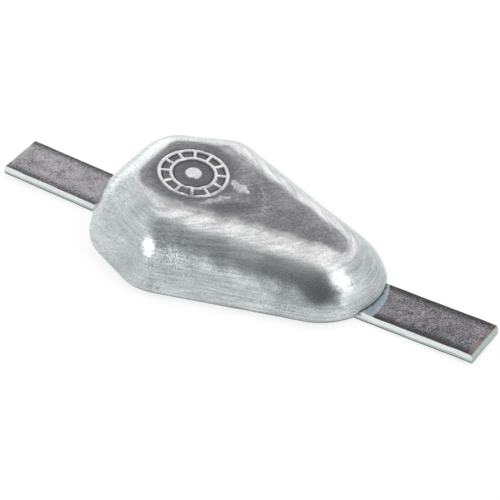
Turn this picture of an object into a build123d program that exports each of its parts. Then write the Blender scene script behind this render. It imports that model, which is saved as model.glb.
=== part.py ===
from build123d import *
import math
import os

# Teardrop hull anode: soft metal cast round a flat steel bar, in millimetres.
# X runs along the bar with the narrow nose at +X, and Z points away from the hull.
# The origin is the middle of the bar's length, on the flat back that faces the hull.

# Flat bar, whose two bare ends are welded to the hull.
strap_length = 309.0
strap_width = 30.0
strap_thickness = 6.0
strap_edge_radius = 0.8
shear_roll_radius = 1.8
nose_wing_lift = 1.1
heel_wing_lift = 2.0

# Casting seen from above: five round corners joined by straight flanks.
nose_reach = 88.0
heel_reach = 87.0
casting_width = 122.5
nose_radius = 37.5
shoulder_radius = 32.0
shoulder_x = -30.0
heel_radius = 38.0
heel_spread = 27.0

# Casting seen from the side: a rounded rim at the back, a drafted wall and a falling top.
rim_radius = 6.0
rim_section_count = 6
draft_angle = 13.0
crown_height = 42.5
crown_fall_angle = 7.3
wide_end_rounding = 43.0
nose_rounding = 33.0
crown_tip_radius = 1.5
crown_section_count = 8

# Plain round foundry mark, raised on the top.
mark_x = -32.5
mark_y = 0.0
mark_diameter = 40.0
mark_rise = 1.0
mark_root = 0.8
rib_width = 1.7
rib_draft_angle = 12.0
inner_ring_diameter = 27.0
boss_diameter = 9.0
tick_count = 12
tick_width = 1.6

# Values worked out from the sizes above.
nose_x = nose_reach - nose_radius
heel_x = heel_radius - heel_reach
heel_y = heel_spread / 2
shoulder_y = casting_width / 2 - shoulder_radius
crown_fall = math.tan(math.radians(crown_fall_angle))

# Each corner is its centre, its radius at the widest level and the rounding over its top.
# They stand in order round the outline, from the nose anticlockwise.
corners = [
    (nose_x, 0.0, nose_radius, nose_rounding),
    (shoulder_x, shoulder_y, shoulder_radius, wide_end_rounding),
    (heel_x, heel_y, heel_radius, wide_end_rounding),
    (heel_x, -heel_y, heel_radius, wide_end_rounding),
    (shoulder_x, -shoulder_y, shoulder_radius, wide_end_rounding),
]


def top_height(x):
    """Height of the top face over the back, which falls towards the nose."""
    return crown_height - crown_fall * (x - shoulder_x)


def wall_inset(height, top, rounding):
    """How far the wall stands inside the widest level, at a height.

    The wall leans in at the draft angle and then turns over in an arc that is level at the top.
    """
    draft = math.radians(draft_angle)
    centre = top - rounding
    arc_start = centre + rounding * math.sin(draft)

    def lean(z):
        if z < arc_start:
            return (z - arc_start) * math.tan(draft)
        return rounding * math.cos(draft) - math.sqrt(max(rounding**2 - (z - centre) ** 2, 0.0))

    return lean(height) - lean(rim_radius)


def outline(circles):
    """Closed wire round circles given as (x, y, radius): arcs joined by their outer tangents."""
    count = len(circles)
    normals = []
    for i in range(count):
        x1, y1, r1 = circles[i]
        x2, y2, r2 = circles[(i + 1) % count]
        bearing = math.atan2(y2 - y1, x2 - x1)
        normals.append(bearing - math.acos((r1 - r2) / math.hypot(x2 - x1, y2 - y1)))
    edges = []
    for i in range(count):
        x, y, r = circles[i]
        nx, ny, nr = circles[(i + 1) % count]
        first = normals[i - 1]
        turn = (normals[i] - first) % (2 * math.pi)
        start, middle, end = [
            (x + r * math.cos(angle), y + r * math.sin(angle))
            for angle in (first, first + turn / 2, first + turn)
        ]
        following = (nx + nr * math.cos(normals[i]), ny + nr * math.sin(normals[i]))
        edges.append(ThreePointArc(start, middle, end))
        edges.append(Line(end, following))
    return Wire(edges)


def crown_plane(share):
    """Plane of a level between the widest one (share 0) and the top face (share 1)."""
    tilt = math.atan(crown_fall * share)
    level = rim_radius + (top_height(0) - rim_radius) * share
    return Plane(
        origin=(0, 0, level),
        x_dir=(math.cos(tilt), 0, -math.sin(tilt)),
        z_dir=(math.sin(tilt), 0, math.cos(tilt)),
    )


def level_face(plane, radii):
    """Face of the casting on one plane, with a radius for each corner."""
    return plane * Face(outline([(*corner[:2], radius) for corner, radius in zip(corners, radii)]))


def rim_section(share):
    """Face of the rounded rim, from the flat back (share 0) to the widest level (share 1)."""
    turn = math.pi / 2 * share
    inset = rim_radius * (1 - math.sin(turn))
    height = rim_radius * (1 - math.cos(turn))
    return level_face(Plane.XY.offset(height), [corner[2] - inset for corner in corners])


def crown_section(share):
    """Face of the casting at one level, with each corner drawn in by its own wall.

    A corner too tight for its rounding has the rounding squeezed until a small tip is left.
    """
    radii = []
    for x, _, radius, rounding in corners:
        top = top_height(x)
        height = rim_radius + (top - rim_radius) * share
        squeeze = min(1.0, (radius - crown_tip_radius) / wall_inset(top, top, rounding))
        radii.append(radius - squeeze * wall_inset(height, top, rounding))
    return level_face(crown_plane(share), radii)


def shares(count):
    """Even steps from 0 to 1."""
    return [step / (count - 1) for step in range(count)]


def casting_form():
    """The cast metal as one solid, before the bar is let into it."""
    rim = loft([rim_section(share) for share in shares(rim_section_count)], ruled=True)
    crown = loft([crown_section(math.sin(math.pi / 2 * share)) for share in shares(crown_section_count)])
    return rim + crown


def foundry_mark():
    """Two raised rings with short ribs between them, round a flat boss."""
    top_plane = crown_plane(1.0)
    place = top_plane * Location((mark_x, mark_y, -mark_root))
    outer = mark_diameter / 2
    inner = inner_ring_diameter / 2
    tick_length = outer - inner
    drawing = Circle(outer) - Circle(outer - rib_width)
    drawing += Circle(inner) - Circle(inner - rib_width)
    for spot in PolarLocations((outer + inner - rib_width) / 2, tick_count):
        drawing += spot * Rectangle(tick_length, tick_width)
    drawing += Circle(boss_diameter / 2)
    return extrude(place * drawing, mark_root + mark_rise, taper=rib_draft_angle)


def runs_along_bar(edge):
    """Whether an edge runs along the bar, and not across its width or its thickness."""
    direction = edge.tangent_at(0.5)
    return abs(direction.X) > max(abs(direction.Y), abs(direction.Z))


def strap_form():
    """The flat bar: straight through the casting, with both bare ends lifted a little.

    Shearing has rolled the upper edge of each end over, and all the long edges are eased.
    """
    nose_lift = math.radians(nose_wing_lift)
    heel_lift = math.radians(heel_wing_lift)
    nose_bare = strap_length / 2 - nose_reach
    heel_bare = strap_length / 2 - heel_reach
    nose_tip = (nose_reach + nose_bare * math.cos(nose_lift), nose_bare * math.sin(nose_lift))
    heel_tip = (-heel_reach - heel_bare * math.cos(heel_lift), heel_bare * math.sin(heel_lift))
    underside = Polyline(heel_tip, (-heel_reach, 0), (nose_reach, 0), nose_tip)
    side = make_face(offset(underside, strap_thickness, kind=Kind.INTERSECTION, side=Side.LEFT))
    corners_along = side.vertices().sort_by(Axis.X)
    sheared = [pair.sort_by(Axis.Y)[-1] for pair in (corners_along[:2], corners_along[-2:])]
    rolled_off = side - fillet(sheared, shear_roll_radius)
    bar = extrude(Plane.XZ * side, strap_width / 2, both=True)
    bar = fillet(bar.edges().filter_by(runs_along_bar), strap_edge_radius)
    return bar - extrude(Plane.XZ * rolled_off, strap_width / 2, both=True)


strap = strap_form()
casting = casting_form() + foundry_mark()
casting = casting - strap

os.makedirs("parts", exist_ok=True)
export_step(casting, "parts/anode_casting.step")
export_step(strap, "parts/steel_strap.step")
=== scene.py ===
"""A weld-on hull anode dressed for its picture: soft metal cast round a flat steel bar.

Lengths are in metres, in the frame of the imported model: X runs along the bar towards the
casting's narrow nose, Z points away from the hull, and the flat back lies at zero.
"""

import logging
import math
from dataclasses import dataclass, replace
from enum import Enum

import bpy
import numpy as np
from mathutils import Matrix, Vector


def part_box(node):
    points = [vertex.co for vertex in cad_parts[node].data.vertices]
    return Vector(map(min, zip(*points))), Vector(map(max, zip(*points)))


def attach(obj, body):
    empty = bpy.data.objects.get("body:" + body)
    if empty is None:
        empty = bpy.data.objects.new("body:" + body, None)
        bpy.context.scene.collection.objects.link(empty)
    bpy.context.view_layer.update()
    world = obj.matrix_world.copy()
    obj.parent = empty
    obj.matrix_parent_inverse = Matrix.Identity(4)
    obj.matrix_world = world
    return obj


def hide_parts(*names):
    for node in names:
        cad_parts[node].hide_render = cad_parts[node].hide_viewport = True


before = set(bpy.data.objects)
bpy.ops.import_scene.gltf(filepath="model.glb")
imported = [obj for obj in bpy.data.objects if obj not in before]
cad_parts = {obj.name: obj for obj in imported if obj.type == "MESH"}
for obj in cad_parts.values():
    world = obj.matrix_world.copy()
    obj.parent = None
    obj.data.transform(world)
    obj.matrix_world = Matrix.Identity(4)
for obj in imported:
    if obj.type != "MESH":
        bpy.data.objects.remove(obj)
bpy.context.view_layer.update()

log = logging.getLogger("hull_anode")

Triple = tuple[float, float, float]
Colour = Triple
Grid = np.ndarray


class Node(Enum):
    """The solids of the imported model."""

    CASTING = "anode_casting"
    STRAP = "steel_strap"


class Slot(Enum):
    """The record's material slots."""

    CAST_METAL = "cast_anode_metal"
    MILL_SCALE = "mill_scale_steel"


class Mask(Enum):
    """Masks that the shapes leave on their vertices for the finishes to read."""

    TOP_FACE = "top_face"
    ROUNDING = "rounding"
    RIDGE = "ridge"
    GROOVE = "groove"
    RESIDUE = "residue"
    GRIME = "grime"
    FLANK = "flank_shade"
    FROST = "frost"
    PITTED = "pitted"
    SCALE = "scale"
    EDGE_LOW = "edge_low"
    END_FACE = "end_face"
    CLEANED = "cleaned"
    JOINT_SHADOW = "joint_shadow"


# Shapes: surfaces worked out as whole arrays.


def smooth_step(low: float, high: float, value: Grid) -> Grid:
    """Ease from 0 to 1 as a value goes from low to high, which may be less: 3t^2 - 2t^3."""
    share = np.clip((value - low) / (high - low), 0.0, 1.0)
    return share * share * (3.0 - 2.0 * share)


def slope(degrees: float) -> float:
    """Rise over run of an angle."""
    return math.tan(math.radians(degrees))


def bell(distance: Grid) -> Grid:
    """Soft spot of radius 1: exp(-distance^2)."""
    return np.exp(-(distance**2))


def in_plan(rows: Grid) -> Grid:
    """Points dropped to the plane of the back, for a pattern that follows the plan alone."""
    return rows * np.array([1.0, 1.0, 0.0])


@dataclass(frozen=True)
class Ripple:
    """A gentle unevenness: many plane waves of like length, in random directions.

    Attributes:
        depth: Rough height of the swells, crest to mean.
        length: Middle wavelength.
        seed: Seed of the directions and phases.
        waves: How many waves are summed.
        shortest: Shortest wave, as a share of the middle one.
        longest: Longest wave, as a share of the middle one.
    """

    depth: float
    length: float
    seed: int
    waves: int = 18
    shortest: float = 0.7
    longest: float = 1.35

    def at(self, points: Grid) -> Grid:
        """Height at points: the sum of sin(k . p + phase), scaled to the stated depth.

        Args:
            points: Points with their three coordinates last.

        Returns:
            One height a point.
        """
        rng = np.random.default_rng(self.seed)
        heading = rng.normal(size=(self.waves, 3))
        heading /= np.linalg.norm(heading, axis=1, keepdims=True)
        length = self.length * rng.uniform(self.shortest, self.longest, size=(self.waves, 1))
        phase = rng.uniform(0.0, 2.0 * math.pi, size=self.waves)
        swell = np.sin(points @ (2.0 * math.pi * heading / length).T + phase).sum(axis=-1)
        return self.depth * swell * math.sqrt(2.0 / self.waves)


def grid_normals(rows: Grid) -> Grid:
    """Outward unit normals of a closed ring grid: the cross product of its two directions.

    Args:
        rows: Points (row, column, 3); rows climb from the back to the top, columns run
            anticlockwise seen from the top and close on themselves.

    Returns:
        Unit normals of the same shape.
    """
    around = np.roll(rows, -1, axis=1) - np.roll(rows, 1, axis=1)
    along = np.gradient(rows, axis=0)
    normal = np.cross(around, along)
    size = np.linalg.norm(normal, axis=2, keepdims=True)
    return normal / np.maximum(size, 1e-15)


def ring_skin(name: str, rows: Grid, masks: dict[Mask, Grid]) -> bpy.types.Object:
    """Mesh of a closed ring grid whose first and last rows are closed by a pole each.

    Args:
        name: Name of the object.
        rows: Points (row, column, 3), columns anticlockwise seen from the last row.
        masks: Values (row, column) to keep on the vertices.

    Returns:
        The new object, linked to the scene.
    """
    row_count, column_count, _ = rows.shape
    index = np.arange(row_count * column_count).reshape(row_count, column_count)
    beside = np.roll(index, -1, axis=1)
    quads = np.stack([index[:-1], beside[:-1], beside[1:], index[1:]], axis=-1).reshape(-1, 4)
    first_pole = row_count * column_count
    last_pole = first_pole + 1
    start = np.stack([beside[0], index[0], np.full(column_count, first_pole)], axis=-1)
    finish = np.stack([index[-1], beside[-1], np.full(column_count, last_pole)], axis=-1)
    poles = np.stack([rows[0].mean(axis=0), rows[-1].mean(axis=0)])
    points = np.vstack([rows.reshape(-1, 3), poles])
    mesh = bpy.data.meshes.new(name)
    mesh.from_pydata(points.tolist(), [], start.tolist() + quads.tolist() + finish.tolist())
    for mask, values in masks.items():
        ends = [values[0].mean(), values[-1].mean()]
        layer = mesh.attributes.new(mask.value, "FLOAT", "POINT")
        layer.data.foreach_set("value", np.append(values.ravel(), ends).astype(np.float32))
    mesh.shade_smooth()
    mesh.update()
    piece = bpy.data.objects.new(name, mesh)
    bpy.context.scene.collection.objects.link(piece)
    return piece


def finish_piece(
    piece: bpy.types.Object, finish: bpy.types.Material, node: Node
) -> None:
    """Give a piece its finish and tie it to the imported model.

    Args:
        piece: Piece whose mesh is final.
        finish: Material for the whole piece.
        node: Solid that the piece stands for.
    """
    piece.data.materials.clear()
    piece.data.materials.append(finish)
    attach(piece, "root")
    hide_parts(node.value)
    triangles = sum(len(polygon.vertices) - 2 for polygon in piece.data.polygons)
    log.info("%s: %d triangles", piece.name, triangles)


# The flat bar.


@dataclass
class StrapBar:
    """Flat steel bar through the casting, with sheared ends that are lifted a little.

    Attributes:
        length, width, thickness: Size of the stock.
        edge_radius: Rounding of the rolled long edges.
        shear_roll: Radius by which shearing has rolled each end's upper edge over.
        nose_bend, heel_bend: Places along X where the two ends lift.
        nose_lift, heel_lift: Lift of each end, in degrees.
        corner_points, wide_face_points, narrow_face_points: Points on parts of the section.
        roll_stations, body_stations: Sections over each rolled end and along the rest.
        end_shares: Rings that close an end, as shares of its size.
        waviness: Unevenness of the rolled edges.
        edge_inset: How far the edges lie inside the stock width, so that no wave passes it.
        cleaned_width: Width of the cleaned steel beside the nose, at the bar's middle.
        cleaned_slant: How much narrower it grows for each metre across.
    """

    length: float = 0.309
    width: float = 0.030
    thickness: float = 0.006
    edge_radius: float = 0.0008
    shear_roll: float = 0.0018
    nose_bend: float = 0.088
    heel_bend: float = -0.087
    nose_lift: float = 1.1
    heel_lift: float = 2.0
    corner_points: int = 9
    wide_face_points: int = 41
    narrow_face_points: int = 9
    roll_stations: int = 12
    body_stations: int = 260
    end_shares: tuple[float, ...] = (0.97, 0.85, 0.65, 0.42, 0.2, 0.05)
    waviness: Ripple = Ripple(0.00006, 0.011, seed=31)
    edge_inset: float = 0.00008
    cleaned_width: float = 0.0042
    cleaned_slant: float = 0.19

    def corner(self) -> tuple[Grid, Grid]:
        """Quarter circle of an edge, as distances from the corner: r(1 - cos) and r(1 - sin)."""
        turn = np.linspace(0.0, math.pi / 2, self.corner_points)
        return self.edge_radius * (1 - np.cos(turn)), self.edge_radius * (1 - np.sin(turn))

    def profile(self) -> tuple[Grid, Grid]:
        """Cross-section, clockwise seen from +X.

        Straight faces are even steps and each corner is a quarter circle.

        Returns:
            The y and z coordinates round the section, from the lower left corner.
        """
        half, top, radius = self.width / 2, self.thickness, self.edge_radius
        wide = np.linspace(-half + radius, half - radius, self.wide_face_points)[1:-1]
        narrow = np.linspace(radius, top - radius, self.narrow_face_points)[1:-1]
        arc_in, arc_out = self.corner()
        y = np.concatenate([
            -half + arc_out[::-1], np.full(narrow.size, -half), -half + arc_in, wide,
            half - arc_out, np.full(narrow.size, half), half - arc_in, wide[::-1],
        ])
        z = np.concatenate([
            arc_in[::-1], narrow, top - arc_out, np.full(wide.size, top),
            top - arc_in, narrow[::-1], arc_out, np.zeros(wide.size),
        ])
        return y, z

    def stations(self) -> Grid:
        """Places along the bar where its section is set: close together at the rolled ends.

        Returns:
            Places from one end to the other.
        """
        half = self.length / 2
        straight = half - self.shear_roll
        turn = np.linspace(0.0, math.pi / 2, self.roll_stations)
        roll = half - self.shear_roll * (1 - np.sin(turn))
        body = np.linspace(-straight, straight, self.body_stations)[1:-1]
        return np.concatenate([-roll[::-1], body, roll])

    def rows(self) -> Grid:
        """The bar's skin: the section carried along X, lowered by the roll at each sheared end.

        Near an end the upper face falls by r - sqrt(r^2 - d^2), where d is how far a station
        lies into the last r of the bar. Past each bend the section turns up by the lift.

        Returns:
            Points (row, column, 3).
        """
        along = self.stations()
        y, z = self.profile()
        depth = np.clip(np.abs(along) - (self.length / 2 - self.shear_roll), 0.0, self.shear_roll)
        fall = self.shear_roll - np.sqrt(np.maximum(self.shear_roll**2 - depth**2, 0.0))
        squash = 1.0 - fall / self.thickness
        flat = np.empty((along.size, y.size, 3))
        flat[..., 0] = along[:, None]
        flat[..., 1] = y[None, :]
        flat[..., 2] = z[None, :] * squash[:, None]
        wave = self.waviness.at(flat) - self.edge_inset
        at_edge = smooth_step(self.width / 2 - 0.0015, self.width / 2, np.abs(flat[..., 1]))
        flat[..., 1] += wave * np.sign(flat[..., 1]) * at_edge
        return self.bend(np.concatenate([
            self.end_rows(flat[0])[::-1], flat, self.end_rows(flat[-1]),
        ]))

    def end_rows(self, rim: Grid) -> Grid:
        """Rings that close a sheared end: the end section drawn in towards its middle.

        Args:
            rim: The end section's points.

        Returns:
            Rings from just inside the rim to near the middle.
        """
        shares = np.array(self.end_shares)[:, None, None]
        middle = rim.mean(axis=0)
        middle[2] = (rim[:, 2].min() + rim[:, 2].max()) / 2
        return middle + (rim - middle) * shares

    def bend(self, flat: Grid) -> Grid:
        """Lift both bare ends: points past a bend turn about the bend's lower edge.

        Args:
            flat: Points of the straight bar.

        Returns:
            Points of the bar with its ends lifted.
        """
        bent = flat.copy()
        for place, lift, past in (
            (self.nose_bend, self.nose_lift, flat[..., 0] > self.nose_bend),
            (self.heel_bend, -self.heel_lift, flat[..., 0] < self.heel_bend),
        ):
            sine, cosine = math.sin(math.radians(lift)), math.cos(math.radians(lift))
            out, up = flat[..., 0] - place, flat[..., 2]
            bent[..., 0] = np.where(past, place + out * cosine - up * sine, bent[..., 0])
            bent[..., 2] = np.where(past, out * sine + up * cosine, bent[..., 2])
        return bent

    def lower_face(self, x: Grid) -> Grid:
        """Height of the lower face: 0 between the bends, then rising by each lift's slope."""
        nose, heel = np.maximum(x - self.nose_bend, 0.0), np.maximum(self.heel_bend - x, 0.0)
        return nose * slope(self.nose_lift) + heel * slope(self.heel_lift)

    def masks(self, rows: Grid, casting: "Casting") -> dict[Mask, Grid]:
        """Where mill scale, cleaned steel and the painted shadow line at the joint with the
        casting lie.

        Args:
            rows: The bar's finished points.
            casting: The casting, whose outline bounds the cleaned steel.

        Returns:
            The masks, one value a point.
        """
        x, y, z = rows[..., 0], rows[..., 1], rows[..., 2]
        normal = np.abs(grid_normals(rows))
        height = z - self.lower_face(x)
        wide_face = smooth_step(0.55, 0.9, normal[..., 2])
        clear = casting.nose_clearance(x, y)
        width = np.maximum(self.cleaned_width - self.cleaned_slant * y, 0.0008)
        cleaned = wide_face * (1.0 - smooth_step(0.7, 1.15, clear / width))
        cleaned = cleaned * (height > self.thickness / 2)
        return {
            Mask.SCALE: wide_face * (1.0 - cleaned),
            Mask.CLEANED: cleaned,
            # Painted shadow line on the bar's top along the joint with the casting.
            Mask.JOINT_SHADOW: (1.0 - smooth_step(0.0002, 0.0009, clear)) * (z > self.thickness / 2),
            Mask.EDGE_LOW: smooth_step(0.0034, 0.0018, height),
            Mask.END_FACE: smooth_step(0.6, 0.9, normal[..., 0]),
        }

    def build(self, casting: "Casting") -> bpy.types.Object:
        """Make and dress the bar.

        Args:
            casting: The casting that the bar runs through.

        Returns:
            The finished piece.
        """
        rows = self.rows()
        piece = ring_skin("flat_bar", rows[:, ::-1], {
            mask: values[:, ::-1] for mask, values in self.masks(rows, casting).items()
        })
        finish_piece(piece, MillScaleFinish().material(), Node.STRAP)
        return piece

    def slot_cutter(self, clearance: float, reach: float) -> bpy.types.Object:
        """Straight tool that cuts the bar's slot, open at the back.

        Args:
            clearance: Crevice left between the bar and the casting.
            reach: How far the tool extends each way along X.

        Returns:
            A plain object, for cutting alone.
        """
        half, top = self.width / 2 + clearance, self.thickness + clearance
        below = -0.002
        arc_in, arc_out = self.corner()
        y = np.concatenate([[-half], -half + arc_in, half - arc_out, [half]])
        z = np.concatenate([[below], top - arc_out, top - arc_in, [below]])
        section = np.stack([np.zeros(y.size), y, z], axis=-1)
        ends = np.array([-reach, reach])[:, None, None] * np.array([1.0, 0.0, 0.0])
        return ring_skin("slot_cutter", (section[None] + ends)[:, ::-1], {})


# The casting.


@dataclass(frozen=True)
class FoundryMark:
    """Plain round mark, raised on the top: two rings joined by short ribs, round a boss.

    Attributes:
        x: Place of its middle along X.
        diameter, inner_diameter, boss_diameter: Outer diameters of the rings and the boss.
        rib_width: Width of the rings and ribs halfway up.
        rise: Height of the crests over the top face.
        ribs: How many short ribs join the rings.
        flank: Half the width over which a ridge's side falls away.
        halo: Width of the dirt round the outer ring.
        lumps: Unevenness of its wear.
    """

    x: float = -0.0325
    diameter: float = 0.040
    inner_diameter: float = 0.027
    boss_diameter: float = 0.009
    rib_width: float = 0.0017
    rise: float = 0.00097
    ribs: int = 12
    flank: float = 0.00045
    halo: float = 0.009
    lumps: Ripple = Ripple(0.16, 0.006, seed=5)

    def out(self, x: Grid, y: Grid) -> Grid:
        """Distance from the mark's middle."""
        return np.hypot(x - self.x, y)

    def ridge(self, distance: Grid) -> Grid:
        """Ridge cross-section, 1 on its crest: flat, then eased down both sides."""
        half = self.rib_width / 2
        return 1.0 - smooth_step(half - self.flank, half + self.flank, np.abs(distance))

    def relief(self, x: Grid, y: Grid) -> Grid:
        """Share of the full rise: the highest of two rings, the ribs between them and the boss.

        A ring is a ridge at a radius, and a rib is a ridge along a spoke between the two rings.

        Args:
            x: Places along X.
            y: Places across.

        Returns:
            Relief from 0 to 1.
        """
        out = self.out(x, y)
        angle = np.arctan2(y, x - self.x)
        outer = self.diameter / 2 - self.rib_width / 2
        inner = self.inner_diameter / 2 - self.rib_width / 2
        boss, flank = self.boss_diameter / 2, self.flank
        pitch = 2 * math.pi / self.ribs
        off_spoke = (np.mod(angle + pitch / 2, pitch) - pitch / 2) * out
        between = smooth_step(inner - flank, inner, out) * smooth_step(outer + flank, outer, out)
        return np.maximum.reduce([
            self.ridge(out - outer), self.ridge(out - inner), self.ridge(off_spoke) * between,
            smooth_step(boss + flank, boss - flank, out),
        ])

    def beside_ridge(self, x: Grid, y: Grid) -> Grid:
        """How close a point lies to the ridges: the relief of a mark with wider, softer ribs."""
        wider = replace(self, rib_width=self.rib_width * 1.7, flank=self.flank * 1.6)
        return wider.relief(x, y)

    def dirt(self, x: Grid, y: Grid) -> Grid:
        """Dirt round the mark, full up to its edge and fading over the halo."""
        return smooth_step(self.diameter / 2 + self.halo, self.diameter / 2, self.out(x, y))

    def worn(self, rows: Grid) -> Grid:
        """Share of the height left after wear: least towards the nose and the front.

        Args:
            rows: Points on the top face.

        Returns:
            Shares from 0.25 to 1.
        """
        side = ((rows[..., 0] - self.x) - rows[..., 1]) / (self.diameter / 2)
        left = 1.0 - 0.42 * smooth_step(0.1, 1.4, side) + self.lumps.at(in_plan(rows))
        return np.clip(left, 0.25, 1.0)


@dataclass(frozen=True)
class Spot:
    """A soft round spot on the skin.

    Attributes:
        place: Its middle.
        radius: Distance at which it has fallen to about a third.
        strength: Its value in the middle.
    """

    place: Triple
    radius: float
    strength: float

    def at(self, rows: Grid) -> Grid:
        """Value at points: strength times exp(-(distance / radius)^2)."""
        far = np.linalg.norm(rows - np.array(self.place), axis=-1)
        return self.strength * bell(far / self.radius)


@dataclass(frozen=True)
class Oval:
    """A slanting oval on the top face, seen from above.

    Attributes:
        x, y: Its middle.
        turn: Slant of its length from +X, in degrees.
        length, width: Half its length and half its width.
        strength: Its value in the middle.
    """

    x: float
    y: float
    turn: float
    length: float
    width: float
    strength: float = 1.0

    def distance(self, rows: Grid) -> Grid:
        """Distance from the middle, 1 on the oval's outline.

        Args:
            rows: Points on the top face.

        Returns:
            One distance a point.
        """
        sine, cosine = math.sin(math.radians(self.turn)), math.cos(math.radians(self.turn))
        east, north = rows[..., 0] - self.x, rows[..., 1] - self.y
        along, across = east * cosine + north * sine, north * cosine - east * sine
        return np.hypot(along / self.length, across / self.width)


@dataclass(frozen=True)
class Lap:
    """A cold lap: a thin arc, raised where its strength is above 0 and sunk below it.

    Attributes:
        radius: Radius of the arc.
        width: Distance at which it has fallen to about a third.
        first, last: Bearings at which it starts and ends, in degrees.
        strength: Its value along the middle.
        fade: Degrees over which each end fades.
    """

    radius: float
    width: float
    first: float
    last: float
    strength: float
    fade: float = 14.0

    def at(self, out: Grid, bearing: Grid) -> Grid:
        """Value at points round the arc's middle.

        Args:
            out: Distances from the middle.
            bearing: Bearings from it, in degrees.

        Returns:
            Values, 0 off the arc.
        """
        ends = smooth_step(self.first, self.first + self.fade, bearing)
        ends = ends * smooth_step(self.last, self.last - self.fade, bearing)
        return self.strength * bell((out - self.radius) / self.width) * ends


@dataclass(frozen=True)
class CastSkin:
    """Marks that casting, brushing and handling left on the casting's skin, and painted shade on
    its front.

    Attributes:
        dull_start, dull_end: Ends of the dull top's middle line, in plan.
        dull_radius, dull_taper: Its radius at the start, and how much less it is at the end.
        dull_edge: Raggedness of its edge.
        smudge: Dirt along the front edge of the top.
        spills, spill_edge: Rough spills of metal beside the mark, and their ragged edge.
        lap_middle, laps: Middle of the cold laps' arcs, in plan, and the laps.
        flecks: Patches of coarse dark flecks.
        shoulder_shade: Painted shade round the front shoulder.
        hollows: Blow holes and dents, each as deep as its strength.
        swells, grain: Unevenness of the whole skin; the swells are calmed round the mark.
        sunk: How far the skin lies inside the plain form, so that the swells stay in it.
        lap_rise, spill_rise: Heights of a full cold lap and of spilt metal.
        spill_grain: Roughness of spilt metal, as a share of its height.
    """

    dull_start: tuple[float, float] = (-0.036, 0.0005)
    dull_end: tuple[float, float] = (0.0638, 0.0080)
    dull_radius: float = 0.0280
    dull_taper: float = 0.0202
    dull_edge: Ripple = Ripple(0.0009, 0.014, seed=41)
    smudge: Oval = Oval(-0.0010, -0.0100, 38.0, 0.0170, 0.0055)
    spills: tuple[Oval, ...] = (
        Oval(-0.0064, 0.0073, -18.0, 0.0068, 0.0034, 1.0),
        Oval(-0.0110, -0.0100, 54.0, 0.0090, 0.0020, 0.6),
    )
    spill_edge: Ripple = Ripple(0.24, 0.005, seed=22)
    lap_middle: tuple[float, float] = (-0.0198, -0.0131)
    laps: tuple[Lap, ...] = (
        Lap(0.0345, 0.0006, 6.0, 62.0, -1.0),
        Lap(0.0358, 0.0006, 4.0, 58.0, 0.9),
        Lap(0.0318, 0.0005, 16.0, 56.0, -0.6),
    )
    flecks: tuple[Spot, ...] = (
        Spot((-0.0140, -0.0500, 0.0260), 0.0125, 0.9),
        Spot((0.0500, -0.0370, 0.0140), 0.0140, 0.35),
        Spot((-0.0220, -0.0598, 0.0085), 0.0050, 0.6),
    )
    shoulder_shade: Spot = Spot((-0.0385, -0.0570, 0.0165), 0.0105, 0.6)
    hollows: tuple[Spot, ...] = (
        Spot((-0.0667, -0.0389, 0.0281), 0.0015, 0.0004),
        Spot((0.0564, -0.0366, 0.0086), 0.0006, 0.0006),
        Spot((0.0661, -0.0338, 0.0072), 0.0006, 0.0003),
        Spot((-0.0175, -0.0588, 0.0068), 0.0012, 0.0006),
        Spot((-0.0220, -0.0599, 0.0077), 0.0028, 0.0003),
        Spot((-0.0180, 0.0585, 0.0120), 0.0012, 0.0005),
        Spot((0.0220, 0.0480, 0.0150), 0.0009, 0.0004),
        Spot((-0.0740, 0.0300, 0.0250), 0.0010, 0.0004),
    )
    swells: tuple[Ripple, ...] = (Ripple(0.00018, 0.046, seed=11), Ripple(0.00003, 0.013, seed=12))
    grain: Ripple = Ripple(0.00001, 0.0034, seed=13, waves=30)
    sunk: float = 0.00028
    lap_rise: float = 0.00018
    spill_rise: float = 0.00032
    spill_grain: Ripple = Ripple(0.9, 0.0024, seed=21, waves=26)

    def dull_top(self, rows: Grid) -> Grid:
        """Share of the dull, unbrushed top: a tapered blot, fading over its ragged edge.

        Its distance is measured from the middle line, less a radius that shrinks along it.

        Args:
            rows: Points of the plain form.

        Returns:
            Shares from 0 to 1.
        """
        east, north = rows[..., 0] - self.dull_start[0], rows[..., 1] - self.dull_start[1]
        run = np.subtract(self.dull_end, self.dull_start)
        length = float(np.hypot(*run))
        along = (east * run[0] + north * run[1]) / length
        across = (north * run[0] - east * run[1]) / length
        share = np.clip(along / length, 0.0, 1.0)
        radius = self.dull_radius - self.dull_taper * share
        out = np.hypot(along - share * length, across) - radius
        return smooth_step(0.0052, -0.0050, out + self.dull_edge.at(in_plan(rows)))

    def flank_shade(self, rows: Grid) -> Grid:
        """Share of the painted shade in front, standing in for dark reflections: a band before the
        nose, a streak and the stain.

        The band's foot drops from 24.5 to 13 mm towards the nose, and its head fades from 24
        to 33 mm. The streak runs down the rounding over the shoulder.

        Args:
            rows: Points of the plain form.

        Returns:
            Shares from 0 to 1.
        """
        x, y, z = rows[..., 0], rows[..., 1], rows[..., 2]
        foot = 0.0245 - 0.0115 * smooth_step(0.018, 0.052, x)
        band = smooth_step(-0.0025, 0.0025, z - foot) * smooth_step(0.033, 0.024, z)
        band = band * smooth_step(-0.004, 0.044, x) * smooth_step(0.080, 0.066, x)
        streak = 0.4 * bell((x + 0.0165 + 0.55 * (y + 0.037)) / 0.0022)
        streak = streak * smooth_step(0.026, 0.034, z) * smooth_step(0.0415, 0.0395, z)
        in_front = smooth_step(-0.010, -0.022, y)
        return np.maximum.reduce([band, streak, self.shoulder_shade.at(rows)]) * in_front

    def smudged(self, rows: Grid) -> Grid:
        """Share of the smudge, full inside its oval and fading round it."""
        return smooth_step(1.2, 0.4, self.smudge.distance(rows))

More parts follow.
